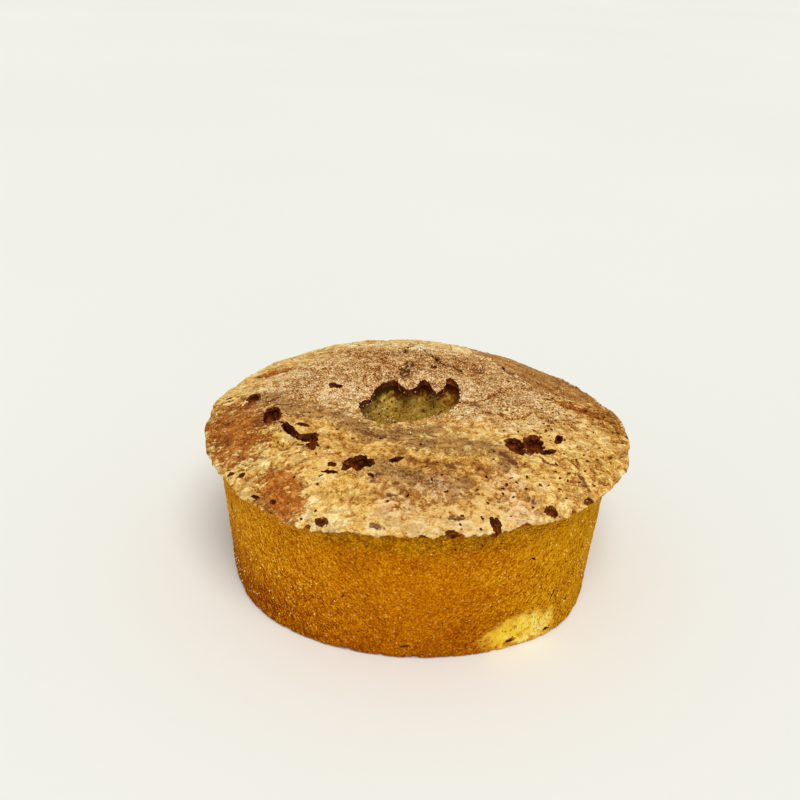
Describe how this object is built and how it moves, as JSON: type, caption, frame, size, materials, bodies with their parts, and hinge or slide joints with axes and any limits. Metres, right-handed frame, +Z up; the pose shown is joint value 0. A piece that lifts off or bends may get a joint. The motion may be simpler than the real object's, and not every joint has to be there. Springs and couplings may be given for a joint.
{
  "type": "apple ring cake",
  "caption": "Round baked ring cake with a tapered golden wall, a domed and torn brown crust and a hole through the middle.",
  "frame": {"origin": "on the table, under the middle of the crust's outline", "axes": "+Z up through the hole, X and Y flat on the table, -Y towards the side with the torn foot"},
  "size_m": [0.2473, 0.2424, 0.0997],
  "materials": {
    "baked_crust": "matte, dry and porous"
  },
  "bodies": {
    "root": {"cake": "baked_crust"}
  },
  "joints": []
}
